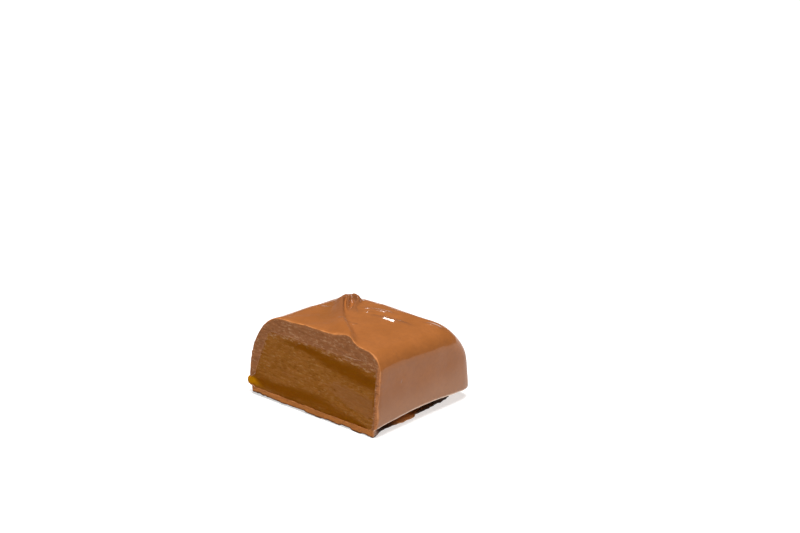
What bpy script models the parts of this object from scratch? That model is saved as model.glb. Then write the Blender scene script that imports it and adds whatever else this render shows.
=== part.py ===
"""A milk chocolate coated caramel with one end cut off, so that its filling shows.

The coating is a soft pillow with a dipper's swirl drawn across its top. Its walls end in a lip that
stands over a ragged foot of chocolate, which the candy rests on. A knife has taken off the front
end, and it squeezed a little of the chewy filling out at the lower left of the cut.
Units are metres, +Z is up, +X is the right of the cut face, and the cut face looks along -Y.
"""

from math import cos, exp, hypot, pi, radians, sin

import bmesh
import bpy
from mathutils import Matrix, Vector, noise

MM = 0.001

# The pillow's top, before the swirl is drawn on it
CREST_HEIGHT = 15.05 * MM
CREST_Y = -10.0 * MM
CROWN = 5.5  # fall to both sides, per metre
SLOPE = 0.030  # fall towards the back
BACK_CROWN = 0.5  # and how it steepens, per metre

# How far each side stands from the middle, and how wide and how deep its shoulder is
RIGHT = (14.7 * MM, 2.6 * MM, 2.9 * MM)
LEFT = (14.7 * MM, 6.7 * MM, 9.2 * MM)
BACK = (12.7 * MM, 6.8 * MM, 9.5 * MM)
FRONT = (21.0 * MM, 6.0 * MM, 8.0 * MM)
SQUARENESS = 12.0  # exponent of the plan's outline, which is a superellipse
CORNER_BLEND = 6.0  # a high power keeps each shoulder's size up to near the corner
END_WEIGHT = 2.0  # the corners take more after the back's shoulder than after the sides'

# The wall below the shoulder: its lip hangs lower at the corners than along the sides
LIP_HEIGHT = 2.25 * MM
LIP_SAG = 0.7 * MM
LIP_CORNER = (14.7 * MM, 12.0 * MM)
LIP_RADIUS = 0.6 * MM
BACK_FLARE = 0.5 * MM  # how far the back wall leans out on its way down
WALL_LEVELS = 7
LIP_LEVELS = 4

# The top's mesh, in odd numbers, so that no vertex lies at the very middle, which has no direction
COLUMNS = 65
ROWS = 57
FLAT_SHARE = 0.66  # share of the rows and columns that lies inside the shoulders

# The ragged foot, which stands in from the wall by more and more towards the back
FOOT_INSET_AT_CUT = 0.9 * MM
FOOT_INSET = 1.8 * MM
FOOT_CUT_REACH = 2.5 * MM
FOOT_RECESS = 0.03  # how fast its inset grows behind the middle
FOOT_RECESS_START = 2.0 * MM
FOOT_RAGGED = 0.6 * MM
FOOT_TOP = 2.7 * MM
FOOT_TOP_INSET = 0.8 * MM
FOOT_POINTS = 132

# The knife's cut, which leans back as it goes up
CUT_Y = -11.24 * MM
CUT_LEAN = radians(5.0)
KNIFE_SIZE = 60 * MM

# The filling, as the width and depth of a block that is smaller at the top
FILLING_LEFT = (-13.3 * MM, -10.9 * MM)
FILLING_RIGHT = (13.8 * MM, 13.35 * MM)
FILLING_BACK = (10.4 * MM, 7.6 * MM)
FILLING_BOTTOM = (1.8 * MM, 2.3 * MM)  # at the left and at the right
FILLING_TOP = (12.5 * MM, 13.1 * MM)  # at the left and at the right of the cut
FILLING_FALL = 1.2 * MM  # from the front of the block to its back
FILLING_ROUND = 1.7 * MM
FILLING_FRONT = -18.0 * MM
FACE_SINK = 0.12 * MM  # the filling's face lies this far behind the chocolate's
GAP = 0.3 * MM

# The tongue of filling that the knife squeezed out
TONGUE_ROOT = (-12.2 * MM, 2.4 * MM)  # how far across it starts, and its height there
TONGUE_TIP = (-15.0 * MM, 0.8 * MM)
TONGUE_MIDDLE = 2.4 * MM
TONGUE_BACK = -9.0 * MM
TONGUE_FRONT = -12.04 * MM
TONGUE_ROUND = 0.35 * MM

# The swirl: each stroke is its path from above in mm, its height along the way in mm, and how wide
# it is on its left and on its right in mm, looking along the path
MELT = 3.0
STROKES = (
    (((-6.0, 4.4), (-5.2, 2.4), (-2.9, -0.2), (-0.4, -3.0), (2.6, -5.7), (5.7, -8.0), (8.4, -10.6), (11, -13)),
     (0.9, 0.85, 0.8, 0.7, 0.75, 0.9, 1.1, 1.0), 0.8, 2.0),
    (((-6.3, 4.7), (-4.4, 5.1), (-3.1, 3.6), (-2.0, 1.7), (-0.6, 0.1)), (0.9, 0.6, 0.5, 0.35, 0.1), 0.8, 0.8),
    (((-6.4, 1.6), (-4.0, -1.9), (-1.6, -4.6), (2.0, -8.0)), (-0.2, -0.3, -0.25, -0.1), 1.6, 1.6),
    (((-1.5, 4.0), (0.9, 4.0), (3.2, 4.3)), (0.15, 0.3, 0.1), 0.6, 0.9),
    (((-0.6, 2.4), (1.5, 1.3), (4.2, 1.8), (6.6, 2.6)), (0.2, 0.25, 0.3, 0.1), 0.6, 0.9),
)

CHOCOLATE_COLOR = (0.42, 0.155, 0.045)
CARAMEL_COLOR = (0.26, 0.095, 0.012)


def remove_everything():
    """Empties the scene, whatever it held."""
    for obj in list(bpy.data.objects):
        bpy.data.objects.remove(obj)


def material(name, color, roughness):
    """A plain Principled material."""
    made = bpy.data.materials.new(name)
    made.use_nodes = True
    shader = made.node_tree.nodes["Principled BSDF"]
    shader.inputs["Base Color"].default_value = (*color, 1.0)
    shader.inputs["Roughness"].default_value = roughness
    shader.inputs["Metallic"].default_value = 0.0
    return made


def new_object(name, mesh_builder):
    """An object that holds what a bmesh was built into, facing out and in triangles, which cut cleanly."""
    bmesh.ops.triangulate(mesh_builder, faces=mesh_builder.faces)
    bmesh.ops.recalc_face_normals(mesh_builder, faces=mesh_builder.faces)
    mesh = bpy.data.meshes.new(name)
    mesh_builder.to_mesh(mesh)
    mesh_builder.free()
    made = bpy.data.objects.new(name, mesh)
    bpy.context.scene.collection.objects.link(made)
    return made


def as_cutter(obj):
    """Marks an object as a tool that is not part of the candy."""
    obj.hide_render = True
    obj.display_type = "WIRE"
    return obj


def nearest_on_path(x, y, path, heights):
    """Distance in mm from a point to a path, the path's height there, and which side the point is on."""
    best = (1e9, 0.0, 1.0)
    for (ax, ay), (bx, by), low, high in zip(path, path[1:], heights, heights[1:]):
        run_x, run_y = bx - ax, by - ay
        along = ((x - ax) * run_x + (y - ay) * run_y) / (run_x ** 2 + run_y ** 2)
        along = min(1.0, max(0.0, along))
        off_x, off_y = x - ax - along * run_x, y - ay - along * run_y
        distance = hypot(off_x, off_y)
        if distance < best[0]:
            side = run_x * off_y - run_y * off_x
            best = (distance, low + (high - low) * along, side)
    return best


def swirl_height(x, y):
    """How far the swirl lifts or sinks the top at a place, in metres; strokes melt where they meet."""
    lift, sink = 0.0, 0.0
    for path, heights, left_width, right_width in STROKES:
        distance, height, side = nearest_on_path(x / MM, y / MM, path, heights)
        width = left_width if side > 0.0 else right_width
        amount = height * exp(-(distance / width) ** 2)
        lift += max(amount, 0.0) ** MELT
        sink += min(amount, 0.0)
    return (lift ** (1.0 / MELT) + sink) * MM


def top_height(x, y):
    """Height of the smooth top above the table."""
    back = y - CREST_Y
    return CREST_HEIGHT - CROWN * x * x - SLOPE * back - BACK_CROWN * back * abs(back)


def rim(across, along):
    """Place on the wall's outline, and the shoulder's share of the reach and its drop there."""
    side = RIGHT if across > 0.0 else LEFT
    end = BACK if along > 0.0 else FRONT
    side_weight = abs(across) ** CORNER_BLEND
    end_weight = END_WEIGHT * abs(along) ** CORNER_BLEND
    total = side_weight + end_weight
    share = (side_weight * side[1] / side[0] + end_weight * end[1] / end[0]) / total
    drop = (side_weight * side[2] + end_weight * end[2]) / total
    norm = (abs(across) ** SQUARENESS + abs(along) ** SQUARENESS) ** (-1.0 / SQUARENESS)
    return across * norm * side[0], along * norm * end[0], share, drop


def on_top(across, along):
    """Where a vertex of the flat grid goes on the pillow's top and shoulders."""
    ring = max(abs(across), abs(along))
    rim_x, rim_y, share, drop = rim(across / ring, along / ring)
    if ring < FLAT_SHARE:
        reach = (1.0 - share) * ring / FLAT_SHARE
        fall = 0.0
    else:
        turn = 0.5 * pi * (ring - FLAT_SHARE) / (1.0 - FLAT_SHARE)
        reach = 1.0 - share + share * sin(turn)
        fall = drop * (1.0 - cos(turn))
    x, y = rim_x * reach, rim_y * reach
    fade = 1.0 - max(0.0, (ring - FLAT_SHARE) / (1.0 - FLAT_SHARE)) ** 2
    return Vector((x, y, top_height(x, y) - fall + fade * swirl_height(x, y)))


def lip_height(x, y):
    """Height of the wall's lower edge, which sags at the corners."""
    corner = min(1.0, abs(x / LIP_CORNER[0] * y / LIP_CORNER[1]))
    return LIP_HEIGHT - LIP_SAG * corner ** 2


def drawn_in(point, distance):
    """A point moved towards the candy's middle by a distance."""
    flat = Vector((point.x, point.y, 0.0))
    return point - flat.normalized() * distance


def pillow():
    """The whole candy without its foot: a domed top, round shoulders, walls and a rolled lip."""
    builder = bmesh.new()
    bmesh.ops.create_grid(builder, x_segments=COLUMNS, y_segments=ROWS, size=1.0)
    for vertex in builder.verts:
        vertex.co = on_top(vertex.co.x, vertex.co.y)
    edge = [e for e in builder.edges if e.is_boundary]
    for level in range(1, WALL_LEVELS + LIP_LEVELS + 1):
        grown = bmesh.ops.extrude_edge_only(builder, edges=edge)["geom"]
        edge = [g for g in grown if isinstance(g, bmesh.types.BMEdge)]
        ring = [g for g in grown if isinstance(g, bmesh.types.BMVert)]
        for vertex in ring:
            start = vertex.co.copy()
            lip = lip_height(start.x, start.y)
            if level <= WALL_LEVELS:
                left = WALL_LEVELS - level + 1
                vertex.co.z = start.z + (lip + LIP_RADIUS - start.z) / left
                vertex.co.y += BACK_FLARE * max(0.0, start.y / BACK[0]) ** 2 / WALL_LEVELS
            else:
                turn = 0.5 * pi * (level - WALL_LEVELS) / LIP_LEVELS
                last = 0.5 * pi * (level - WALL_LEVELS - 1) / LIP_LEVELS
                vertex.co = drawn_in(start, LIP_RADIUS * (cos(last) - cos(turn)))
                vertex.co.z = start.z - LIP_RADIUS * (sin(turn) - sin(last))
    bmesh.ops.contextual_create(builder, geom=edge)
    return new_object("chocolate_coating", builder)


def foot_inset(x, y):
    """How far in from the wall's outline the foot's edge meets the table at a place on that outline."""
    behind_cut = min(1.0, max(0.0, (y - CUT_Y) / FOOT_CUT_REACH))
    ragged = noise.noise(Vector((x, y, 0.0)) / (2.9 * MM)) + 0.5 * noise.noise(Vector((x, y, 0.0)) / (1.1 * MM))
    recess = FOOT_RECESS * max(0.0, y - FOOT_RECESS_START)
    full = FOOT_INSET + recess + FOOT_RAGGED * ragged
    return FOOT_INSET_AT_CUT + (full - FOOT_INSET_AT_CUT) * behind_cut


def foot():
    """The thin, ragged puddle that the coating ran into, which widens upwards to meet the walls."""
    builder = bmesh.new()
    ring = []
    for step in range(FOOT_POINTS):
        turn = 2.0 * pi * step / FOOT_POINTS
        rim_x, rim_y, _, _ = rim(cos(turn), sin(turn))
        ring.append(builder.verts.new(drawn_in(Vector((rim_x, rim_y, 0.0)), foot_inset(rim_x, rim_y))))
    base = builder.faces.new(ring)
    raised = bmesh.ops.extrude_face_region(builder, geom=[base])["geom"]
    for vertex in [g for g in raised if isinstance(g, bmesh.types.BMVert)]:
        rim_x, rim_y, _, _ = rim(*vertex.co.to_2d().normalized())
        vertex.co = drawn_in(Vector((rim_x, rim_y, 0.0)), FOOT_TOP_INSET)
        vertex.co.z = FOOT_TOP
    return as_cutter(new_object("foot", builder))


def filling_block(name, grow):
    """The filling's rounded block, larger all round by a distance, and longer than the candy at the front."""
    builder = bmesh.new()
    bmesh.ops.create_cube(builder, size=2.0)
    for vertex in builder.verts:
        upper = 1 if vertex.co.z > 0.0 else 0
        back = vertex.co.y > 0.0
        right = vertex.co.x > 0.0
        x = FILLING_RIGHT[upper] + grow if right else FILLING_LEFT[upper] - grow
        y = FILLING_BACK[upper] + grow if back else FILLING_FRONT
        z = FILLING_TOP[right] + grow - FILLING_FALL * back if upper else FILLING_BOTTOM[right] - grow
        vertex.co = (x, y, z)
    bmesh.ops.bevel(builder, geom=builder.edges, offset=FILLING_ROUND + grow, segments=4, profile=0.5,
                    affect="EDGES", clamp_overlap=True)
    return new_object(name, builder)


def tongue(name, grow):
    """The squeezed-out tongue of filling, a small rounded wedge that narrows towards its tip."""
    builder = bmesh.new()
    bmesh.ops.create_cube(builder, size=2.0)
    for vertex in builder.verts:
        at_tip = vertex.co.x < 0.0
        reach, height = TONGUE_TIP if at_tip else TONGUE_ROOT
        x = reach - grow * at_tip
        y = TONGUE_BACK + grow if vertex.co.y > 0.0 else TONGUE_FRONT
        vertex.co = (x, y, TONGUE_MIDDLE + vertex.co.z * (0.5 * height + grow))
    bmesh.ops.bevel(builder, geom=builder.edges, offset=TONGUE_ROUND + grow, segments=3, profile=0.5,
                    affect="EDGES", clamp_overlap=True)
    return as_cutter(new_object(name, builder))


def uncut_filling(name, grow):
    """The filling and its tongue in one, before the knife."""
    made = filling_block(name, grow)
    combine(made, tongue(f"{name}_tongue", grow), "UNION")
    return made


def knife(name, sink):
    """A block whose back face is the cut: everything in front of it is taken away."""
    builder = bmesh.new()
    bmesh.ops.create_cube(builder, size=KNIFE_SIZE)
    made = as_cutter(new_object(name, builder))
    shift = Matrix.Translation((0.0, -0.5 * KNIFE_SIZE, 0.0))
    made.matrix_world = Matrix.Translation((0.0, CUT_Y + sink, 0.0)) @ Matrix.Rotation(-CUT_LEAN, 4, "X") @ shift
    return made


def combine(obj, tool, operation):
    """Adds a Boolean modifier with the exact solver."""
    made = obj.modifiers.new(f"{operation.lower()} {tool.name}", "BOOLEAN")
    made.operation = operation
    made.object = tool
    made.solver = "EXACT"


def finished(obj, surface):
    """Turns an object's modifiers into plain mesh, shaded smooth but for the knife's edges."""
    bpy.context.view_layer.update()
    graph = bpy.context.evaluated_depsgraph_get()
    mesh = bpy.data.meshes.new_from_object(obj.evaluated_get(graph))
    obj.modifiers.clear()
    obj.data = mesh
    mesh.materials.clear()
    mesh.materials.append(surface)
    mesh.shade_smooth()
    mesh.set_sharp_from_angle(angle=radians(35.0))


def stand_on_origin(objects):
    """Moves the meshes so that the candy's box is centred on the origin and stands on z = 0."""
    corners = [vertex.co for obj in objects for vertex in obj.data.vertices]
    low = [min(corner[axis] for corner in corners) for axis in range(3)]
    high = [max(corner[axis] for corner in corners) for axis in range(3)]
    shift = Matrix.Translation((-0.5 * (low[0] + high[0]), -0.5 * (low[1] + high[1]), -low[2]))
    for obj in objects:
        obj.data.transform(shift)


def main():
    remove_everything()
    coating = pillow()
    combine(coating, foot(), "UNION")
    combine(coating, as_cutter(uncut_filling("cavity", GAP)), "DIFFERENCE")
    combine(coating, knife("coating_knife", 0.0), "DIFFERENCE")
    filling = uncut_filling("caramel_filling", 0.0)
    combine(filling, knife("filling_knife", FACE_SINK), "DIFFERENCE")
    finished(coating, material("milk_chocolate", CHOCOLATE_COLOR, 0.35))
    finished(filling, material("caramel", CARAMEL_COLOR, 0.45))
    stand_on_origin([coating, filling])


main()
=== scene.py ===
# %% [markdown]
# # A caramel in milk chocolate, cut open
#
# The real sweet is a chewy block of caramel that was dipped in milk chocolate. The dipper's fork left a
# swirl across the top, and a knife took one end off, so that the filling shows. This lesson dresses the
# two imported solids, the coating and the filling, with a fine skin, a cut that looks cut, and finishes made
# of nodes. It starts by loading the solids, because they say where everything is and how big it is.

from math import cos, pi, radians, sin, tan

import bpy
import numpy as np
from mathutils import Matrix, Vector, noise


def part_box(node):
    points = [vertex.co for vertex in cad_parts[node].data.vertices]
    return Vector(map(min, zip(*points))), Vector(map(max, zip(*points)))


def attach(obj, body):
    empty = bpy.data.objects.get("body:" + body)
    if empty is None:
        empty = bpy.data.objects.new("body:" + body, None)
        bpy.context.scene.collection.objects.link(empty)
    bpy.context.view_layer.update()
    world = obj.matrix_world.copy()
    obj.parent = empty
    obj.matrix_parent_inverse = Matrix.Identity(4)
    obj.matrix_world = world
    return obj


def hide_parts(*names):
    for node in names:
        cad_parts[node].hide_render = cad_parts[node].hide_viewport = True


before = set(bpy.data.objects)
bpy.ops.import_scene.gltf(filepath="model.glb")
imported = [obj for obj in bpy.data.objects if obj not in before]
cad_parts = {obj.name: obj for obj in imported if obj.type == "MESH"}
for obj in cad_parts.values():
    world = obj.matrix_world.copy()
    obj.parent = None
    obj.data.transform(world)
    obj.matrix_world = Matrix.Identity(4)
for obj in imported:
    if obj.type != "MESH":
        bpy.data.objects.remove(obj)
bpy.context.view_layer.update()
MM = 0.001
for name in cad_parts:
    low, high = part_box(name)
    print(name, "is", [round((b - a) / MM, 2) for a, b in zip(low, high)], "mm")

# %% [markdown]
# # The camera
#
# A picture can only be compared with another from the same place. The lens, the distance and both angles
# were worked out from the edges of the sweet in the photograph, before anything else was modelled, so
# that a difference between the pictures is a difference between the sweets.

# %% Set the camera
bpy.ops.object.camera_add(
    location=(248.05 * MM, -264.49 * MM, 153.85 * MM), rotation=(radians(70.13), 0.0, radians(42.12)))
camera = bpy.context.object
camera.name = "camera"
camera.data.lens = 105.0
camera.data.sensor_width = 36.0
camera.data.clip_start = 0.01
bpy.context.scene.camera = camera
bpy.context.scene.view_settings.view_transform = "Standard"
print("camera", round(camera.location.length, 3), "m from the sweet")

# %% [markdown]
# # Working by hand, in code
#
# An operator acts on all that is selected. The loader leaves its own solids selected, so each piece is
# picked on its own first. Points are chosen by where they are, with a test on their coordinates, and a
# modifier is applied as soon as it is set. The last helper is like weight painting: it paints how far
# each point is to move into a vertex group, and a Displace modifier then moves the painted points.

# %% Helpers for picking, selecting and applying
def pick(piece):
    """Makes a piece the only selected and active one."""
    bpy.ops.object.select_all(action="DESELECT")
    piece.select_set(True)
    bpy.context.view_layer.objects.active = piece


def added(name):
    """Names the primitive that was just added."""
    piece = bpy.context.object
    piece.name = name
    piece.data.name = name
    pick(piece)
    return piece


def points_of(piece):
    """Every vertex of a piece as one table of x, y and z."""
    table = np.empty(len(piece.data.vertices) * 3)
    piece.data.vertices.foreach_get("co", table)
    return table.reshape(-1, 3)


def move_points(piece, table):
    """Puts every vertex of a piece where a table says."""
    piece.data.vertices.foreach_set("co", np.ascontiguousarray(table, dtype=float).ravel())
    piece.data.update()


def edit(piece, chosen):
    """Opens a piece in edit mode with only the chosen vertices selected."""
    pick(piece)
    bpy.ops.object.mode_set(mode="EDIT")
    bpy.ops.mesh.select_mode(type="VERT")
    bpy.ops.mesh.select_all(action="DESELECT")
    bpy.ops.object.mode_set(mode="OBJECT")
    piece.data.vertices.foreach_set("select", np.asarray(chosen, dtype=bool))
    bpy.ops.object.mode_set(mode="EDIT")


def done():
    """Leaves edit mode."""
    bpy.ops.object.mode_set(mode="OBJECT")


def modify(piece, kind, **settings):
    """Adds a modifier, sets it and applies it."""
    pick(piece)
    made = piece.modifiers.new(kind.lower(), kind)
    for setting, value in settings.items():
        setattr(made, setting, value)
    bpy.ops.object.modifier_apply(modifier=made.name)


def push_painted(piece, amounts, direction):
    """Paints how far each vertex moves and displaces the piece by it; the amounts are in metres."""
    for sign in (1.0, -1.0):
        painted = np.clip(sign * amounts, 0.0, None)
        most = painted.max()
        if most < 1e-7:
            continue
        group = piece.vertex_groups.new(name="painted")
        for index in np.flatnonzero(painted > 0.001 * most):
            group.add([int(index)], painted[index] / most, "REPLACE")
        modify(piece, "DISPLACE", direction=direction, mid_level=0.0, strength=sign * most,
               vertex_group=group.name)
        piece.vertex_groups.clear()
    print(piece.name, "pushed by", round(amounts.min() / MM, 2), "to", round(amounts.max() / MM, 2), "mm")


# %% [markdown]
# # The form of the coating
#
# Poured chocolate sets as a pillow: a low dome, a tight round shoulder on the right, wide soft ones on
# the left and at the back, and nearly upright walls. A box with bevelled edges can't have a different
# shoulder on each side, and pushing points by eye would miss the photograph. So a flat grid is laid onto
# the measured form by a few formulas, and the walls and the lip are then modelled onto it with operators.
# Lengths are in millimetres from the middle of the whole pillow.

# %% Measures of the pillow
RIGHT = (14.7, 2.6, 2.9)  # how far the side stands out, and its shoulder's width and depth
LEFT = (14.7, 6.7, 9.2)
BACK = (12.7, 6.8, 9.5)
FRONT = (21.0, 6.0, 8.0)
CREST_HEIGHT, CREST_Y = 15.05, -10.0
CROWN, SLOPE, BACK_CROWN = 0.0055, 0.030, 0.0005
SQUARENESS, CORNER_BLEND, END_WEIGHT = 12.0, 6.0, 2.0
FLAT_SHARE = 0.66
CUT_Y, CUT_LEAN = -11.24, radians(5.0)
SPARE = 1.6  # what stands in front of the cut until the knife comes


def rim(across, along):
    """The outline's place in a direction, and the shoulder's share of the reach and its depth there."""
    to_right, to_back = (across > 0.0)[:, None], (along > 0.0)[:, None]
    side = np.where(to_right, RIGHT, LEFT)
    end = np.where(to_back, BACK, FRONT)
    side_weight = np.abs(across) ** CORNER_BLEND
    end_weight = END_WEIGHT * np.abs(along) ** CORNER_BLEND
    total = side_weight + end_weight
    share = (side_weight * side[:, 1] / side[:, 0] + end_weight * end[:, 1] / end[:, 0]) / total
    depth = (side_weight * side[:, 2] + end_weight * end[:, 2]) / total
    norm = (np.abs(across) ** SQUARENESS + np.abs(along) ** SQUARENESS) ** (-1.0 / SQUARENESS)
    return across * norm * side[:, 0], along * norm * end[:, 0], share, depth


def top_height(x, y):
    """Height of the smooth dome."""
    back = y - CREST_Y
    return CREST_HEIGHT - CROWN * x * x - SLOPE * back - BACK_CROWN * back * np.abs(back)


# %% [markdown]
# # The swirl
#
# The dipper leaves its mark by dragging: it pulls up a ridge that is steep on one side and slides off
# gently on the other, and lets thin folds crinkle up where it lifts away. Each stroke is a path with a
# height along it and a width on either side. They could be curves with a bevel, but a tube has the same
# slope on both sides, so the strokes are pushed up out of the surface itself. Round strokes that meet melt
# into one another. The sharp ones have flat flanks, which catch the light as small white glints.

# %% Strokes of the swirl
# Each point of a stroke is: across, back, height, and the width on the left and on the right of the way
MELT = 3.0
LONG_RIDGE = (
    (-7.0, 4.9, 0.85, 0.4, 1.3), (-6.4, 3.3, 0.92, 0.32, 1.3), (-4.4, 1.2, 0.80, 0.32, 1.4),
    (-2.4, -1.1, 0.66, 0.4, 1.6), (-0.6, -2.9, 0.62, 0.5, 1.8), (0.8, -4.3, 0.68, 0.6, 1.9),
    (2.9, -5.9, 0.78, 0.7, 1.9), (5.7, -8.0, 0.92, 0.8, 2.0), (8.4, -10.6, 1.10, 0.8, 2.0),
    (11.0, -13.0, 1.0, 0.8, 2.0))
INNER_STRAND = (
    (-6.3, 4.9, 1.0, 0.3, 0.28), (-5.6, 3.8, 0.92, 0.3, 0.28), (-4.5, 2.5, 0.78, 0.3, 0.28),
    (-3.3, 1.2, 0.62, 0.3, 0.3), (-2.2, 0.5, 0.44, 0.35, 0.35), (-0.8, 0.0, 0.08, 0.5, 0.5))
FOLD_LINE = ((-6.1, 4.0, -0.1, 0.25, 0.25), (-5.3, 2.8, -0.28, 0.25, 0.25), (-4.0, 1.5, -0.24, 0.25, 0.25),
             (-2.7, 0.2, -0.05, 0.3, 0.3))
RIGHT_LOBE = (
    (-6.1, 5.6, 0.88, 0.5, 0.5), (-4.7, 5.3, 0.88, 0.5, 0.4), (-3.9, 4.4, 0.80, 0.5, 0.35),
    (-3.5, 3.4, 0.70, 0.5, 0.35), (-3.0, 2.4, 0.55, 0.5, 0.35), (-2.1, 1.4, 0.42, 0.5, 0.35),
    (-1.1, 0.7, 0.30, 0.5, 0.4), (0.3, -0.5, 0.08, 0.5, 0.5))
PEAK = ((-6.7, 4.7, 0.85, 0.7, 0.7), (-5.7, 5.5, 0.98, 0.7, 0.7), (-4.5, 5.2, 0.85, 0.6, 0.7))
CURL_HOLLOW = ((-5.3, 4.4, -0.25, 0.35, 0.35), (-4.4, 3.4, -0.5, 0.38, 0.35), (-3.5, 2.4, -0.45, 0.38, 0.35),
               (-2.6, 1.4, -0.15, 0.4, 0.4))
LEFT_HOLLOW = ((-9.0, 3.4, -0.08, 1.2, 1.6), (-7.0, 0.4, -0.26, 1.2, 1.6), (-4.1, -3.0, -0.26, 1.3, 1.7),
               (-0.9, -5.7, -0.15, 1.4, 1.8))
RIDGE_CREASE = ((2.4, -3.5, -0.05, 0.5, 0.4), (4.1, -5.3, -0.2, 0.6, 0.4), (5.6, -6.5, -0.16, 0.7, 0.5),
                (7.2, -7.8, -0.04, 0.8, 0.5))
SHORT_CRINKLES = (
    ((-2.1, 2.6, 0.05, 0.5, 0.3), (-0.7, 3.4, 0.3, 0.5, 0.3), (0.4, 3.8, 0.05, 0.5, 0.3)),
    ((-0.4, 1.3, 0.05, 0.5, 0.3), (0.8, 2.0, 0.3, 0.5, 0.28), (1.8, 2.6, 0.05, 0.5, 0.3)))
BACK_CRINKLE = ((-0.6, 3.2, 0.03, 0.9, 0.5), (0.3, 3.55, 0.14, 0.9, 0.5), (1.1, 3.8, 0.28, 0.9, 0.5),
                (2.8, 4.25, 0.28, 0.9, 0.5), (4.4, 4.7, 0.04, 0.9, 0.5))
FRONT_CRINKLE = ((1.8, 1.1, 0.04, 1.0, 0.6), (3.3, 1.7, 0.2, 1.1, 0.7), (4.2, 2.05, 0.48, 1.1, 0.84),
                 (6.4, 2.45, 0.48, 1.1, 0.84), (7.6, 2.8, 0.22, 1.0, 0.7), (9.6, 3.3, 0.03, 0.9, 0.6))
SPOT_FOLDS = (
    ((1.8, -3.93, 0.05, 0.6, 0.45), (2.3, -3.88, 0.3, 0.6, 0.49), (3.0, -3.82, 0.3, 0.6, 0.49),
     (3.5, -3.78, 0.05, 0.6, 0.45)),
    ((-0.1, -4.3, 0.03, 0.6, 0.4), (0.5, -4.2, 0.26, 0.6, 0.4), (1.2, -4.07, 0.26, 0.6, 0.4),
     (1.8, -3.95, 0.03, 0.6, 0.4)),
    ((-7.9, -0.7, 0.04, 0.8, 0.4), (-7.4, -0.45, 0.22, 0.8, 0.4), (-6.8, -0.2, 0.22, 0.8, 0.4),
     (-6.2, 0.05, 0.04, 0.8, 0.4)),
    ((9.6, 6.0, 0.02, 0.8, 0.4), (10.6, 6.3, 0.26, 0.8, 0.38), (12.2, 6.75, 0.26, 0.8, 0.38),
     (13.0, 7.0, 0.04, 0.8, 0.4)))
TROUGH = ((1.4, 2.2, -0.04, 0.5, 0.4), (2.8, 2.7, -0.14, 0.5, 0.4), (4.0, 3.2, -0.14, 0.5, 0.4),
          (5.6, 3.4, -0.03, 0.5, 0.4))
ROUND_STROKES = (LONG_RIDGE, INNER_STRAND, FOLD_LINE, RIGHT_LOBE, PEAK, CURL_HOLLOW, LEFT_HOLLOW,
                 RIDGE_CREASE, *SHORT_CRINKLES, TROUGH)
SHARP_STROKES = (BACK_CRINKLE, FRONT_CRINKLE, *SPOT_FOLDS)


def stroke_heights(x, y, stroke, sharp=False):
    """How far one stroke lifts each place; a sharp one has flat flanks that meet in a crease."""
    nearest = np.full(len(x), 1e9)
    height = np.zeros(len(x))
    width = np.ones(len(x))
    for start, end in zip(stroke, stroke[1:]):
        run_x, run_y = end[0] - start[0], end[1] - start[1]
        along = ((x - start[0]) * run_x + (y - start[1]) * run_y) / (run_x ** 2 + run_y ** 2)
        along = np.clip(along, 0.0, 1.0)
        off_x, off_y = x - start[0] - along * run_x, y - start[1] - along * run_y
        distance = np.hypot(off_x, off_y)
        closer = distance < nearest
        on_left = run_x * off_y - run_y * off_x > 0.0
        here = [a + (b - a) * along for a, b in zip(start[2:], end[2:])]
        nearest = np.where(closer, distance, nearest)
        height = np.where(closer, here[0], height)
        width = np.where(closer, np.where(on_left, here[1], here[2]), width)
    if sharp:
        return height * np.clip(1.0 - nearest / width, 0.0, 1.0)
    return height * np.exp(-(nearest / width) ** 2)


def crease_heights(x, y):
    """How far the sharp folds lift each place."""
    return np.sum([stroke_heights(x, y, stroke, sharp=True) for stroke in SHARP_STROKES], axis=0)


def swirl_heights(x, y):
    """How far the whole swirl lifts or sinks each place."""
    lift, sink = np.zeros(len(x)), np.zeros(len(x))
    for stroke in ROUND_STROKES:
        amount = stroke_heights(x, y, stroke)
        lift += np.clip(amount, 0.0, None) ** MELT
        sink += np.clip(amount, None, 0.0)
    return lift ** (1.0 / MELT) + sink + crease_heights(x, y)


# %% Lay a flat grid onto the pillow
bpy.ops.object.select_all(action="DESELECT")
bpy.ops.mesh.primitive_grid_add(x_subdivisions=241, y_subdivisions=281, size=2.0)
coating = added("chocolate_shell")
flat = points_of(coating)
across, along = flat[:, 0], flat[:, 1]
ring = np.maximum(np.maximum(np.abs(across), np.abs(along)), 1e-6)
rim_x, rim_y, share, depth = rim(across / ring, along / ring)
outer = np.clip((ring - FLAT_SHARE) / (1.0 - FLAT_SHARE), 0.0, 1.0)
flat_reach = (1.0 - share) * ring / FLAT_SHARE
reach = np.where(ring < FLAT_SHARE, flat_reach, 1.0 - share + share * np.sin(0.5 * pi * outer))
x, y = rim_x * reach, rim_y * reach
domed = np.column_stack((x, y, top_height(x, y) - depth * (1.0 - np.cos(0.5 * pi * outer))))
move_points(coating, domed * MM)
print("the dome is", round(domed[:, 2].max(), 2), "mm high over", len(domed), "points")

# %% Draw the swirl
push_painted(coating, (1.0 - outer ** 2) * swirl_heights(x, y) * MM, "Z")

# %% [markdown]
# # Walls and a lip
#
# Below its shoulders the chocolate runs straight down and ends in a rolled lip, which hangs over the
# table and is a little lower at the corners. The grid's border is extruded down to one level by scaling
# its height to nothing there, then turned under in four small steps, and the bottom is closed.

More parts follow.
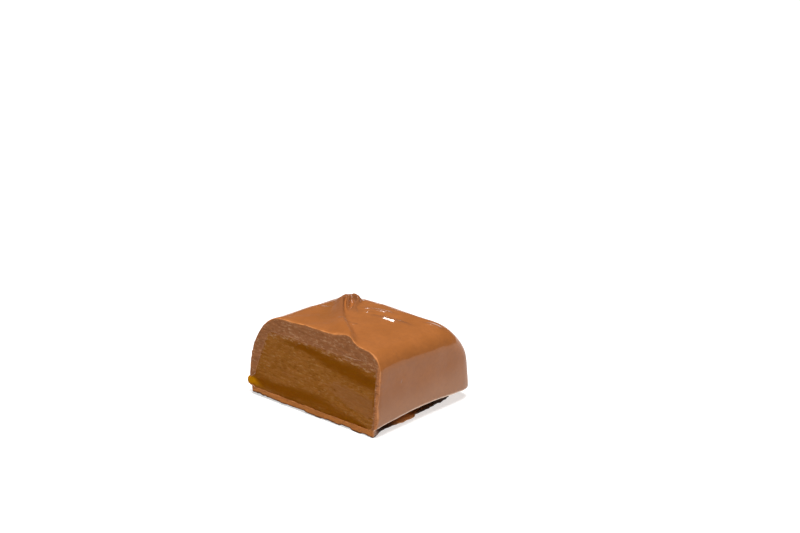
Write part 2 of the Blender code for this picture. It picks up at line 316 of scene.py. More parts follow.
# %% Extrude the walls and roll the lip
LIP_HEIGHT, LIP_RADIUS, LIP_SAG = 2.15, 0.6, 0.85
LIP_STEPS = 4
edit(coating, domed[:, 1] < CUT_Y - SPARE)
bpy.ops.mesh.delete(type="VERT")
bpy.ops.mesh.select_all(action="SELECT")
bpy.ops.mesh.region_to_loop()
wall_foot = (LIP_HEIGHT + LIP_RADIUS) * MM
bpy.ops.mesh.extrude_edges_move(TRANSFORM_OT_translate={"value": (0.0, 0.0, -1.0 * MM)})
bpy.ops.transform.resize(value=(1.0, 1.0, 0.0), center_override=(0.0, 0.0, wall_foot))
for step in range(1, LIP_STEPS + 1):
    turn, last = 0.5 * pi * step / LIP_STEPS, 0.5 * pi * (step - 1) / LIP_STEPS
    inward, was = LIP_RADIUS * (1.0 - cos(turn)), LIP_RADIUS * (1.0 - cos(last))
    down = LIP_RADIUS * (sin(turn) - sin(last)) * MM
    bpy.ops.mesh.extrude_edges_move(TRANSFORM_OT_translate={"value": (0.0, 0.0, -down)})
    narrower = ((RIGHT[0] - inward) / (RIGHT[0] - was), (BACK[0] - inward) / (BACK[0] - was), 1.0)
    bpy.ops.transform.resize(value=narrower, center_override=(0.0, 0.0, 0.0))
bpy.ops.mesh.edge_face_add()
bpy.ops.mesh.select_all(action="SELECT")
bpy.ops.mesh.quads_convert_to_tris()
bpy.ops.mesh.normals_make_consistent(inside=False)
done()

# %% Let the lip sag at the corners, and tear it above the tongue of caramel
TEAR_PLACE, TEAR_SIZE, TEAR_HEIGHT = (-14.7, -12.2), 2.0, 2.2
BACK_FLARE = 0.5  # the back wall leans out towards its lip
x, y, z = (points_of(coating) / MM).T
corner = np.clip(np.abs(x / RIGHT[0] * y / 12.0), 0.0, 1.0) ** 2
tear = np.exp(-((x - TEAR_PLACE[0]) ** 2 + (y - TEAR_PLACE[1]) ** 2) / TEAR_SIZE ** 2)
on_lip = z < LIP_HEIGHT + LIP_RADIUS + 0.01
push_painted(coating, (TEAR_HEIGHT * tear - LIP_SAG * corner) * on_lip * MM, "Z")
push_painted(coating, BACK_FLARE * np.clip(y / BACK[0], 0.0, 1.0) ** 2 * on_lip * MM, "Y")

# %% [markdown]
# # The ragged foot
#
# Before it set, some chocolate ran out under the sweet. It is a thin puddle with a torn edge, and above
# it a deep gap runs under the lip, because the sweet itself stands on a narrower pedestal; the gap is partly
# dark by itself and is darkened further by painted shade in the finish. Both are discs that get the
# coating's outline, drawn in by a smooth noise in three sizes, and are extruded up.

# %% Make the puddle and the pedestal
DISC_POINTS = 440
INSET_AT_CUT, CUT_REACH = 0.9, 2.2  # near the cut both come out to the same place
RUN_OUT_Y, RUN_OUT_REACH, RUN_OUT_LENGTH = -2.2, 3.0, 0.6  # where the puddle ran out furthest, on the right


def ragged_disc(name, inset, recess, ragged_by, height, narrowing):
    """A disc with the coating's outline, drawn in unevenly, and extruded up to a slightly smaller top."""
    bpy.ops.object.select_all(action="DESELECT")
    bpy.ops.mesh.primitive_circle_add(vertices=DISC_POINTS, radius=1.0, fill_type="NGON")
    disc = added(name)
    circle = points_of(disc)
    x, y, _, _ = rim(circle[:, 0], circle[:, 1])
    ragged = np.array([noise.noise(Vector((a, b, 0.0)) / 2.9) + 0.5 * noise.noise(Vector((a, b, 0.0)) / 1.1)
                       + 0.3 * noise.noise(Vector((a, b, 3.0)) / 0.5) for a, b in zip(x, y)])
    full = inset + recess * np.clip(y - 2.0, 0.0, None) + ragged_by * ragged
    full -= RUN_OUT_LENGTH * (x > 0.0) * np.exp(-((y - RUN_OUT_Y) / RUN_OUT_REACH) ** 4)
    behind_cut = np.clip((y - CUT_Y) / CUT_REACH, 0.0, 1.0)
    smaller = 1.0 - (INSET_AT_CUT + (full - INSET_AT_CUT) * behind_cut) / np.hypot(x, y)
    move_points(disc, np.column_stack((x * smaller, y * smaller, 0.0 * x)) * MM)
    edit(disc, np.ones(DISC_POINTS, bool))
    bpy.ops.mesh.extrude_region_move(TRANSFORM_OT_translate={"value": (0.0, 0.0, height * MM)})
    bpy.ops.transform.resize(value=(narrowing, narrowing, 1.0), center_override=(0.0, 0.0, 0.0))
    bpy.ops.mesh.select_all(action="SELECT")
    bpy.ops.mesh.normals_make_consistent(inside=False)
    done()
    return disc


puddle = ragged_disc("puddle", inset=2.0, recess=0.10, ragged_by=0.4, height=0.32, narrowing=0.985)
pedestal = ragged_disc("pedestal", inset=4.4, recess=0.1, ragged_by=0.5, height=2.7, narrowing=1.0)
print("puddle and pedestal", len(puddle.data.vertices) + len(pedestal.data.vertices), "points")

# %% [markdown]
# # Room for the filling
#
# The filling must not show through the gap under the lip. Smaller copies of the pillow and the pedestal,
# melted into one, are kept as the room that it may take up, and trim it later.

# %% Copy and shrink the pillow and the pedestal
def smaller_copy(piece, name, factors, centre):
    """A copy of a piece, scaled about a centre."""
    pick(piece)
    bpy.ops.object.duplicate()
    copy = added(name)
    edit(copy, np.ones(len(copy.data.vertices), bool))
    bpy.ops.transform.resize(value=factors, center_override=centre)
    done()
    return copy


room = smaller_copy(coating, "room", (0.95, 0.95, 0.93), (0.0, 0.0, 8.0 * MM))
room_below = smaller_copy(pedestal, "room_below", (0.97, 0.97, 1.5), (0.0, 0.0, 0.0))
pick(room)
room_below.select_set(True)
bpy.ops.object.join()
modify(room, "REMESH", mode="VOXEL", voxel_size=0.3 * MM)
print("room for the filling", (np.ptp(points_of(room), axis=0) / MM).round(1), "mm")

# %% [markdown]
# # One skin
#
# Pillow, pedestal and puddle are joined and remeshed, which melts them into one closed skin of even small
# faces. A round of smoothing takes out the remesher's grain. The faces are a sixth of a millimetre, about a
# pixel in the picture. At the cut, the front of the base doesn't quite touch the table: it is pushed up a
# little more towards the left, and unevenly. Last, the whole skin gets slight swells.

# %% Join, remesh and smooth
SKIN_VOXEL = 0.16 * MM


def base_stand(x, y):
    """How far the front of the base stands off the table."""
    waves = [noise.noise(Vector((0.45 * a, 0.3 * b, 5.0))) for a, b in zip(x, y)]
    notches = [noise.noise(Vector((1.1 * a, 0.4 * b, 9.0))) for a, b in zip(x, y)]
    ragged = np.array(waves) + 0.5 * np.array(notches)
    return np.clip(0.14 - 0.016 * x, 0.0, 0.34) + 0.35 * np.clip(ragged, 0.0, None)


pick(coating)
puddle.select_set(True)
pedestal.select_set(True)
bpy.ops.object.join()
modify(coating, "REMESH", mode="VOXEL", voxel_size=SKIN_VOXEL, use_smooth_shade=True)
modify(coating, "SMOOTH", factor=0.5, iterations=1)
x, y, z = (points_of(coating) / MM).T
to_front = np.clip(1.0 - (y - CUT_Y) / 1.2, 0.0, 1.0) * np.clip(1.0 - z / 1.2, 0.0, 1.0)
push_painted(coating, to_front * base_stand(x, y) * MM, "Z")
swells = np.array([0.10 * noise.noise(Vector(p) / 3.5) + 0.03 * noise.noise(Vector(p) / 1.2)
                   for p in points_of(coating) / MM])
push_painted(coating, swells * (z > 0.5) * MM, "NORMAL")
print("skin", len(coating.data.polygons), "faces")

# %% [markdown]
# # The filling
#
# The caramel is a soft block, wider at the bottom, whose edges were rounded before it was dipped. It
# starts as a cube, its corners are moved, its edges are bevelled, and the room trims it. The knife
# squeezed a tongue of it out at the lower left, which is a flatter cube that narrows to a tip.

# %% Model the block and its tongue
FILLING_LEFT, FILLING_RIGHT = (-14.2, -10.7), (13.8, 13.7)  # at the bottom and at the top
FILLING_BACK, FILLING_FRONT = (10.4, 7.6), -13.5
FILLING_BOTTOM, FILLING_TOP = (1.35, 1.1), (12.2, 12.35)  # at the left and at the right
FILLING_FALL, FILLING_ROUND = 1.2, 1.2
TONGUE_ROOT, TONGUE_TIP = (-12.2, 2.95, 3.0), (-15.05, 2.15, 0.5)  # how far across, how high, how thick
TONGUE_BACK, TONGUE_FRONT, TONGUE_ROUND = -9.6, -12.04, 0.24


def shaped_cube(name, corner_place, roundness, segments):
    """A cube whose corners are placed by a rule, with round edges."""
    bpy.ops.object.select_all(action="DESELECT")
    bpy.ops.mesh.primitive_cube_add(size=2.0)
    piece = added(name)
    move_points(piece, np.array([corner_place(*corner) for corner in points_of(piece)]) * MM)
    edit(piece, np.ones(8, bool))
    bpy.ops.mesh.bevel(offset=roundness * MM, segments=segments, affect="EDGES")
    done()
    return piece


def filling_corner(x, y, z):
    """Place of a corner of the block."""
    upper, right = int(z > 0.0), int(x > 0.0)
    place_x = FILLING_RIGHT[upper] if right else FILLING_LEFT[upper]
    place_y = FILLING_BACK[upper] if y > 0.0 else FILLING_FRONT
    place_z = FILLING_TOP[right] - FILLING_FALL * (y > 0.0) if upper else FILLING_BOTTOM[right]
    return place_x, place_y, place_z


def tongue_corner(x, y, z):
    """Place of a corner of the tongue."""
    place_x, middle, thick = TONGUE_TIP if x < 0.0 else TONGUE_ROOT
    return place_x, TONGUE_BACK if y > 0.0 else TONGUE_FRONT, middle + 0.5 * z * thick


filling = shaped_cube("caramel_block", filling_corner, FILLING_ROUND, 8)
modify(filling, "BOOLEAN", operation="INTERSECT", object=room, solver="EXACT")
bpy.data.objects.remove(room)
tongue = shaped_cube("tongue", tongue_corner, TONGUE_ROUND, 4)
pick(filling)
tongue.select_set(True)
bpy.ops.object.join()
modify(filling, "REMESH", mode="VOXEL", voxel_size=0.25 * MM, use_smooth_shade=True)
modify(filling, "SMOOTH", factor=0.5, iterations=3)
uneven = np.array([noise.noise(Vector(p) / 2.2) + 0.5 * noise.noise(Vector(p) / 0.8)
                   for p in points_of(filling) / MM])
push_painted(filling, 0.16 * MM * uneven, "NORMAL")
print("filling", len(filling.data.polygons), "faces")

# %% [markdown]
# # The knife
#
# A blade that goes through caramel drags it along. It leaves long shallow streaks that slant down to the
# right, and small torn crumbs between them. A plain cutting plane would leave a mirror, so the knife is a
# block whose cutting face carries the marks in negative. Both pieces are cut with it, and the filling
# gets it a little further back, because it shrank away from the blade.

# %% Make the knife
STREAK_SLANT = 0.12  # how far the streaks fall for each millimetre to the right
FACE_SINK = 0.12
SWELL = 0.3  # hides the filling's own edges in the chocolate
KNIFE_MIDDLE = 8.0


def knife_marks(x, z):
    """How far the knife's face stands out at each place, in millimetres."""
    down = z + STREAK_SLANT * x
    marks = []
    for a, b in zip(x, down):
        wide = noise.noise(Vector((0.12 * a, 1.6 * b, 0.0)))
        thin = noise.noise(Vector((0.3 * a, 4.2 * b, 7.0)))
        crumb = noise.noise(Vector((0.9 * a, 1.9 * b, 20.0)))
        marks.append(0.06 * (wide + 0.5 * thin) + 0.07 * max(0.0, crumb - 0.15))
    return np.array(marks)


bpy.ops.object.select_all(action="DESELECT")
bpy.ops.mesh.primitive_grid_add(
    x_subdivisions=260, y_subdivisions=150, size=36.0 * MM,
    location=(0.0, (CUT_Y + KNIFE_MIDDLE * tan(CUT_LEAN)) * MM, KNIFE_MIDDLE * MM),
    rotation=(0.5 * pi - CUT_LEAN, 0.0, 0.0))
knife = added("knife")
knife.scale = (1.0, 0.6, 1.0)
bpy.ops.object.transform_apply(location=True, rotation=True, scale=True)
x, y, z = (points_of(knife) / MM).T
push_painted(knife, knife_marks(x, z) * MM, "Y")
edit(knife, np.ones(len(x), bool))
bpy.ops.mesh.extrude_region_move(TRANSFORM_OT_translate={"value": (0.0, -20.0 * MM, 0.0)})
bpy.ops.mesh.select_all(action="SELECT")
bpy.ops.mesh.normals_make_consistent(inside=False)
done()
low, high = points_of(knife).min(axis=0) / MM, points_of(knife).max(axis=0) / MM
print("knife from", low.round(1), "to", high.round(1), "mm")

# %% [markdown]
# # Cutting
#
# The order matters. The coating is cut while it is still solid, then remeshed once more and smoothed along
# the edge of the cut, which gave way a little under the blade. Only then is the filling's place taken out,
# so that the remesher doesn't waste faces on the hidden inside.

# %% Cut the coating
CUT_NORMAL = np.array((0.0, -cos(CUT_LEAN), sin(CUT_LEAN)))
CUT_PLACE = np.array((0.0, CUT_Y * MM, 0.0))
RIGHT_EDGE = 12.5  # from here on the edge of the cut is rounder and more torn


def facing_knife(piece):
    """How squarely each vertex faces the knife, from -1 to 1."""
    table = np.empty(len(piece.data.vertices) * 3)
    piece.data.vertex_normals.foreach_get("vector", table)
    return table.reshape(-1, 3) @ CUT_NORMAL


def paint_group(piece, name, shares):
    """Paints shares from 0 to 1 into a vertex group."""
    group = piece.vertex_groups.new(name=name)
    for index in np.flatnonzero(shares > 0.01):
        group.add([int(index)], float(shares[index]), "REPLACE")


modify(coating, "BOOLEAN", operation="DIFFERENCE", object=knife, solver="EXACT")
modify(coating, "REMESH", mode="VOXEL", voxel_size=SKIN_VOXEL, use_smooth_shade=True)
in_front = (points_of(coating) - CUT_PLACE) @ CUT_NORMAL / MM
on_edge = (np.abs(in_front) < 0.45) * (facing_knife(coating) < 0.97)
paint_group(coating, "edge", on_edge.astype(float))
modify(coating, "SMOOTH", factor=0.5, iterations=5, vertex_group="edge")
modify(coating, "SMOOTH", factor=0.5, iterations=1)
x, _, z = (points_of(coating) / MM).T
right_edge = on_edge * (x > RIGHT_EDGE) * (z > 0.6)
paint_group(coating, "right", right_edge.astype(float))
modify(coating, "SMOOTH", factor=0.5, iterations=8, vertex_group="right")
coating.vertex_groups.clear()
on_strip = (in_front > -0.7) * (z < 1.35) * (z > 0.03)
rough = np.flatnonzero(on_edge | on_strip)
chips = np.zeros(len(z))
chips[rough] = [noise.noise(Vector(p) / 1.9) + 0.6 * noise.noise(Vector(p) / 0.6)
                for p in points_of(coating)[rough] / MM]
push_painted(coating, chips * np.where(on_strip | (x > RIGHT_EDGE), 0.14, 0.06) * MM, "NORMAL")
print("coating", len(coating.data.polygons), "faces after the cut")

# %% [markdown]
# # Faces where they are needed
#
# The swirl and the cut need faces as small as a pixel, and the plain walls and the underside don't. They
# are painted into a group, and the Decimate modifier takes faces away only there.

# %% Thin out the plain places, then hollow the coating
x, y, z = (points_of(coating) / MM).T
plain = np.clip((12.5 - z) / 2.0, 0.0, 1.0) * (y > CUT_Y + 1.2)
paint_group(coating, "plain", plain)
modify(coating, "DECIMATE", decimate_type="COLLAPSE", ratio=0.55, vertex_group="plain")
coating.vertex_groups.clear()
modify(coating, "BOOLEAN", operation="DIFFERENCE", object=filling, solver="EXACT")
coating.data.calc_loop_triangles()
print("coating", len(coating.data.loop_triangles), "triangles")

# %% Cut the filling, a little further back towards the bottom
push_painted(filling, np.full(len(filling.data.vertices), SWELL * MM), "NORMAL")
knife_points = points_of(knife)
knife_points[:, 1] += FACE_SINK * MM * np.clip(1.0 - knife_points[:, 2] / (FILLING_TOP[0] * MM), 0.0, 1.0)
move_points(knife, knife_points)
modify(filling, "BOOLEAN", operation="DIFFERENCE", object=knife, solver="EXACT")
modify(filling, "REMESH", mode="VOXEL", voxel_size=0.18 * MM, use_smooth_shade=True)
modify(filling, "SMOOTH", factor=0.5, iterations=1)
bpy.data.objects.remove(knife)
print("filling", len(filling.data.polygons), "faces after the cut")

# %% [markdown]
# # Into place
#
# The knife took the front off, so the middle of what is left lies behind the middle of the pillow. Both
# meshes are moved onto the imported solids, and each stands for its own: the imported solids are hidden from
# the picture and stay what the physics uses.

# %% Move both pieces onto the solids
SHIFT = np.array((0.15, -0.989, 0.0)) * MM
REPLACING = ((coating, "chocolate_coating", "milk_chocolate"), (filling, "caramel_filling", "caramel"))
for piece, node, slot in REPLACING:
    moved = points_of(piece) + SHIFT
    moved[:, 2] = np.clip(moved[:, 2], 0.0, None)
    move_points(piece, moved)
    pick(piece)
    bpy.ops.object.shade_smooth()
    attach(piece, "root")
    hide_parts(node)
    for side, own, packed in zip(("lowest", "highest"), (moved.min(axis=0), moved.max(axis=0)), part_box(node)):
        print(piece.name, side, (own / MM).round(2), "mm, and", node, (np.array(packed) / MM).round(2), "mm")

# %% [markdown]
# # Making a finish out of nodes
#
# Every finish here is a Principled shader with a few patterns in front of it. Patterns are read in
# millimetres, from the piece's own coordinates, so that their size can be measured on the photograph.

# %% Helpers for materials
def new_finish(name):
    """A material with an empty Principled shader, and its node tree."""
    made = bpy.data.materials.new(name)
    made.use_nodes = True
    return made, made.node_tree, made.node_tree.nodes["Principled BSDF"]


def node(tree, kind, inputs=(), **settings):
    """Adds a node, sets it, and fills its inputs with numbers, colours or other nodes' outputs."""
    made = tree.nodes.new("ShaderNode" + kind)
    for setting, value in settings.items():
        setattr(made, setting, value)
    for key, value in dict(inputs).items():
        if isinstance(value, bpy.types.NodeSocket):
            tree.links.new(value, made.inputs[key])
        else:
            made.inputs[key].default_value = value
    return made


def in_millimetres(tree, stretch=(1.0, 1.0, 1.0), turn=(0.0, 0.0, 0.0)):
    """The piece's own coordinates in millimetres, stretched and turned for a pattern with a direction."""
    place = node(tree, "TexCoord").outputs["Object"]
    scale = [s / MM for s in stretch]
    return node(tree, "Mapping", {"Vector": place, "Scale": scale, "Rotation": turn}).outputs["Vector"]


def noise_pattern(tree, place, scale, detail=3.0, roughness=0.5):
    """A noise from 0 to 1."""
    values = {"Vector": place, "Scale": scale, "Detail": detail, "Roughness": roughness}
    return node(tree, "TexNoise", values).outputs["Fac"]


def between(tree, value, low, high, to_low=0.0, to_high=1.0):
    """A value's way from low to high as a soft step."""
    values = {"Value": value, "From Min": low, "From Max": high, "To Min": to_low, "To Max": to_high}
    return node(tree, "MapRange", values, interpolation_type="SMOOTHSTEP").outputs["Result"]


def times(tree, a, b):
    """The product of two values."""
    return node(tree, "Math", {0: a, 1: b}, operation="MULTIPLY").outputs[0]


def painted(tree, name):
    """A share that was painted onto the piece."""
    return node(tree, "Attribute", attribute_name=name).outputs["Fac"]


def blend(tree, share, under, over):
    """One colour laid over another by a share."""
    made = node(tree, "Mix", data_type="RGBA")
    for key, value in ((0, share), (6, under), (7, over)):
        if isinstance(value, bpy.types.NodeSocket):
            tree.links.new(value, made.inputs[key])
        else:
            made.inputs[key].default_value = value
    return made.outputs[2]


# %% [markdown]
# # Painting the coating
#
# Some places on the coating have a look of their own, and a noise alone would put them anywhere. The folds
# that the dipper worked are painted a darker brown, the long ridge and its sheltered side are duller, and
# that sheltered side is also painted darker, as shade; the sharp folds shine. Under the lip hardly any light
# gets in, and the puddle there is painted dark, as shade, except for the stretch that ran out furthest on
# the right, which is painted lighter, as if lit. Where the base nears the table, a thin contact shadow is
# painted. Each of these is painted into an attribute, which the finish reads. So is the rim, the last
# millimetre before the cut.

# %% Paint the top of the coating
ON_TOP = 12.0  # the folds and their sheltered side are higher than this
# the path of the ridge's sheltered side, which is painted darker as shade and made duller
DULL_SHADED_SIDE_PATH = ((-8.8, 3.4, 0.7, 1.0, 1.0), (-6.9, 0.0, 0.9, 1.5, 1.3), (-4.2, -3.6, 0.8, 1.7, 1.4),
       (-1.4, -6.2, 0.3, 1.7, 1.4))


def paint(piece, name, shares):
    """Writes a share for each vertex into an attribute of a piece."""
    attribute = piece.data.attributes.new(name, "FLOAT", "POINT")
    attribute.data.foreach_set("value", shares)
    print(name, "covers", round(100.0 * float((shares > 0.5).mean()), 1), "% of", piece.name)


x, y, z = ((points_of(coating) - SHIFT) / MM).T
on_top = z > ON_TOP
dull_shaded_side = stroke_heights(x, y, DULL_SHADED_SIDE_PATH) * on_top
paint(coating, "dull_shaded_side", dull_shaded_side)
behind = ((points_of(coating) - SHIFT - CUT_PLACE) @ CUT_NORMAL) / MM
near_rim = np.clip((behind + 0.9) / 0.3, 0.0, 1.0)
paint(coating, "rim", near_rim)
ridge_path = tuple((*point[:2], 1.0, 0.8, 1.4) for point in LONG_RIDGE)
dull = np.clip(np.maximum(dull_shaded_side, stroke_heights(x, y, ridge_path) * on_top) / 0.8, 0.0, 1.0)
creased = np.clip(crease_heights(x, y) * on_top / 0.12, 0.0, 1.0)
gloss = np.clip(0.5 * (1.0 - 0.9 * dull) + creased, 0.0, 1.0)
paint(coating, "gloss", gloss * (1.0 - near_rim * np.clip(z - 11.0, 0.0, 1.0)))
folded = np.clip(swirl_heights(x, y) / 0.6, 0.0, 1.0) * on_top
paint(coating, "folds", folded * np.exp(-((y - 2.0) / 7.0) ** 4))

# %% Paint the base's contact shadow, the shade under the lip and the lit stretch of the puddle
front = y < CUT_Y + 1.2
# painted contact shadow on the lowest part of the base at the front
painted_contact_shadow = np.zeros(len(x))
painted_contact_shadow[front] = np.clip((0.34 - (z[front] - base_stand(x[front], y[front]))) / 0.14, 0.0, 1.0)
paint(coating, "painted_contact_shadow", painted_contact_shadow)
# the stretch that ran out, painted lighter as if lit
painted_lit_run_out = (x > 0.0) * np.exp(-((y - RUN_OUT_Y) / RUN_OUT_REACH) ** 4)
paint(coating, "painted_lit_run_out", painted_lit_run_out * (z < 0.7) * np.clip((x - 12.4) / 0.4, 0.0, 1.0))
# painted shade under the lip, spared on the lit stretch
shade_under_lip = np.clip((1.5 - z) / 0.3, 0.0, 1.0) * np.clip(y - CUT_Y - 1.5, 0.0, 1.0)
paint(coating, "painted_gap_shade", shade_under_lip * (1.0 - painted_lit_run_out))

# %% [markdown]
# # Milk chocolate
#
# The skin is a satin milk brown, a little uneven where the cocoa butter set faster. Low on the walls a
# painted reflection of the white table makes it hazy, and under the lip runs a painted highlight. Where the
# knife went through, the chocolate is duller and more mauve, with pale streaks of smeared crumbs and a more
# orange layer at the bottom, and its very edge carries a thin painted highlight, wider and more orange on the
# right, where it is partly the torn edge's own colour. The shader finds the cut by the way the surface
# faces: at the rim, only the cut looks straight at the knife.

# %% Colour the skin
chocolate, tree, shader = new_finish("milk_chocolate")
place = in_millimetres(tree)
clouds = noise_pattern(tree, place, 0.22, 2.0)
fine = noise_pattern(tree, place, 1.7, 4.0)
skin = blend(tree, between(tree, clouds, 0.3, 0.7), (0.27, 0.09, 0.021, 1.0), (0.30, 0.102, 0.026, 1.0))
skin = blend(tree, between(tree, fine, 0.35, 0.75, 0.0, 0.5), skin, (0.24, 0.082, 0.022, 1.0))
normal = node(tree, "NewGeometry").outputs["Normal"]
facing = node(tree, "VectorMath", {0: normal, 1: CUT_NORMAL}, operation="DOT_PRODUCT").outputs["Value"]
on_cut = times(tree, between(tree, facing, 0.8, 0.95), painted(tree, "rim"))
from_middle, _, height = node(tree, "SeparateXYZ", {0: place}).outputs
upward = node(tree, "SeparateXYZ", {0: normal}).outputs["Z"]
# painted reflection: low on the walls the colour is lightened and greyed where the white table would shine onto
# it
painted_table_haze = times(tree, between(tree, upward, 0.45, 0.15), between(tree, height, 8.0, 2.0, 0.0, 0.3))
skin = blend(tree, painted_table_haze, skin, (0.42, 0.25, 0.16, 1.0))
# painted highlight: a light line on the underside of the lip, where it would reflect the table
painted_lip_highlight = times(tree, between(tree, upward, -0.15, -0.5), between(tree, height, 1.0, 1.4))
skin = blend(tree, times(tree, painted_lip_highlight, 0.7), skin, (0.75, 0.55, 0.42, 1.0))
# the folds of the swirl are painted a darker brown
skin = blend(tree, times(tree, painted(tree, "folds"), 0.6), skin, (0.17, 0.066, 0.029, 1.0))
# painted shade: the sheltered side of the long ridge is darkened
skin = blend(tree, times(tree, painted(tree, "dull_shaded_side"), 0.6), skin, (0.17, 0.062, 0.016, 1.0))
# painted light: the stretch of puddle that ran out is made lighter, as if lit under the lip
skin = blend(tree, painted(tree, "painted_lit_run_out"), skin, (0.60, 0.26, 0.08, 1.0))
# painted shade: the puddle and pedestal under the lip are darkened
skin = blend(tree, painted(tree, "painted_gap_shade"), skin, (0.035, 0.012, 0.004, 1.0))
print("skin", len(tree.nodes), "nodes")

# %% Colour the cut of the coating
streak_place = in_millimetres(tree, (0.14, 1.0, 1.5), (0.0, STREAK_SLANT, 0.0))
streaks = noise_pattern(tree, streak_place, 1.1, 4.0, 0.65)
cut_color = blend(tree, between(tree, streaks, 0.35, 0.75),
                  (0.25, 0.095, 0.033, 1.0), (0.32, 0.126, 0.048, 1.0))
crumbs = noise_pattern(tree, in_millimetres(tree, (0.35, 1.0, 1.0), (0.0, STREAK_SLANT, 0.0)), 3.2, 5.0, 0.7)
cut_color = blend(tree, between(tree, crumbs, 0.46, 0.32, 0.0, 0.7), cut_color, (0.17, 0.06, 0.016, 1.0))
cut_color = blend(tree, between(tree, crumbs, 0.52, 0.66, 0.0, 0.7), cut_color, (0.46, 0.24, 0.125, 1.0))
cut_color = blend(tree, between(tree, height, 1.6, 0.9), cut_color, (0.41, 0.145, 0.036, 1.0))
color = blend(tree, on_cut, skin, cut_color)
# the right rim is partly the torn edge's own orange and partly a painted highlight
torn = node(tree, "Math", {0: times(tree, crumbs, 0.8), 1: from_middle}, operation="ADD").outputs[0]
right_rim = times(tree, between(tree, torn, 14.45, 14.75), between(tree, height, 13.0, 11.5))
right_rim = times(tree, times(tree, right_rim, on_cut), between(tree, crumbs, 0.38, 0.56, 0.25, 0.9))
color = blend(tree, right_rim, color, (0.46, 0.17, 0.06, 1.0))
# painted highlight: a thin light line along the edge of the cut
edge = times(tree, between(tree, facing, 0.25, 0.5), between(tree, facing, 0.95, 0.8))
patchy = between(tree, noise_pattern(tree, place, 0.55, 3.0), 0.35, 0.6, 0.35, 0.9)
edge = times(tree, times(tree, edge, painted(tree, "rim")), patchy)
color = blend(tree, edge, color, (0.52, 0.20, 0.065, 1.0))
# painted contact shadow: the lowest part of the base is darkened where it nears the table
color = blend(tree, times(tree, painted(tree, "painted_contact_shadow"), 0.9), color, (0.05, 0.018, 0.006, 1.0))
print("skin and cut", len(tree.nodes), "nodes")

# %% Finish the chocolate
tree.links.new(color, shader.inputs["Base Color"])
tree.links.new(between(tree, on_cut, 0.0, 1.0, 0.38, 0.6), shader.inputs["Roughness"])
coated = times(tree, painted(tree, "gloss"), between(tree, on_cut, 1.0, 0.0))
tree.links.new(coated, shader.inputs["Coat Weight"])
shader.inputs["Coat Roughness"].default_value = 0.12
bump = node(tree, "Bump", {"Height": fine, "Distance": 0.05 * MM, "Strength": 0.35})
cut_bump = node(tree, "Bump", {"Height": times(tree, crumbs, on_cut), "Distance": 0.3 * MM, "Strength": 0.8,
                               "Normal": bump.outputs["Normal"]})
tree.links.new(cut_bump.outputs["Normal"], shader.inputs["Normal"])
shader.inputs["Specular IOR Level"].default_value = 0.03
coating.data.materials.clear()
coating.data.materials.append(chocolate)
print("chocolate finish", len(tree.nodes), "nodes")

# %% [markdown]
# # Painting the bands of the caramel
#
# Cut caramel is not one colour. It is clear gold where the blade left it smooth, browner where it was
# torn, and hazy where the blade smeared chocolate over it. Two gold bands cross this cut, and they fall
# to the right as the streaks do. The tip of the tongue is thin, and so it is the brightest. All are painted
# as strokes again, this time across the cut and up it.

# %% Paint the gold, pale, smeared and light places
# Each point is: across, up, share, and the width above and below the way
GOLD_STROKES = (
    ((-9.5, 10.7, 0.3, 0.7, 0.7), (-6.0, 11.1, 0.8, 0.7, 0.7), (-2.5, 11.1, 1.0, 0.8, 0.8),
     (0.4, 10.6, 1.0, 0.9, 1.1), (3.3, 10.2, 1.0, 1.3, 1.4), (8.9, 9.8, 1.0, 1.5, 1.8),
     (13.6, 9.4, 1.0, 1.6, 2.0)),
    ((-14.0, 2.7, 1.0, 1.4, 1.5), (-9.0, 2.5, 1.0, 1.5, 1.5), (2.0, 2.5, 1.0, 1.5, 1.5),
     (6.0, 2.1, 1.0, 1.2, 1.5), (10.0, 1.5, 1.0, 0.9, 1.2), (12.0, 1.2, 0.9, 0.6, 0.8)),
    ((13.7, 8.5, 0.7, 0.5, 0.5), (13.5, 4.5, 0.6, 0.4, 0.4)),
)
PALE_STROKES = (
    ((1.0, 6.6, 0.2, 1.6, 1.6), (5.5, 6.0, 0.7, 2.0, 1.8), (9.0, 4.9, 1.0, 2.4, 1.6),
     (12.5, 4.4, 1.0, 2.4, 1.5)),
    ((-11.0, 6.0, 0.2, 1.2, 1.0), (-6.0, 5.6, 0.5, 1.2, 1.0), (-1.0, 5.6, 0.3, 1.2, 1.0)),
)
SMEAR_STROKES = (
    ((-11.6, 12.4, 1.0, 1.2, 1.2), (-6.0, 12.8, 1.0, 1.2, 1.2), (0.0, 12.9, 1.0, 1.3, 1.3),
     (6.0, 12.7, 1.0, 1.5, 1.5), (13.5, 12.2, 1.0, 1.4, 1.4)),
    ((-14.0, 4.6, 0.4, 0.5, 0.5), (-13.2, 6.5, 0.9, 0.6, 0.6), (-12.2, 9.0, 1.0, 0.8, 0.8),
     (-11.3, 12.2, 1.0, 1.0, 1.0)),
    ((14.2, 12.0, 1.0, 0.8, 0.8), (14.3, 7.0, 0.9, 0.6, 0.6), (14.1, 1.5, 1.0, 0.9, 0.9)),
)
LINE_STROKES = (((-11.2, 11.9, 0.6, 0.22, 0.3), (-12.2, 8.4, 0.9, 0.22, 0.3), (-13.9, 4.2, 1.0, 0.22, 0.3)),)
TIP_STROKES = (
    ((-15.2, 2.3, 1.0, 1.2, 1.0), (-13.9, 2.3, 0.8, 1.1, 0.9), (-12.4, 1.9, 0.5, 0.9, 0.8),
     (-10.0, 1.5, 0.3, 0.5, 0.4)),
)

across, _, up = ((points_of(filling) - SHIFT) / MM).T
for name, strokes in (("gold", GOLD_STROKES), ("pale", PALE_STROKES), ("smear", SMEAR_STROKES),
                      ("tip", TIP_STROKES), ("line", LINE_STROKES)):
    paint(filling, name, np.max([stroke_heights(across, up, stroke) for stroke in strokes], axis=0))

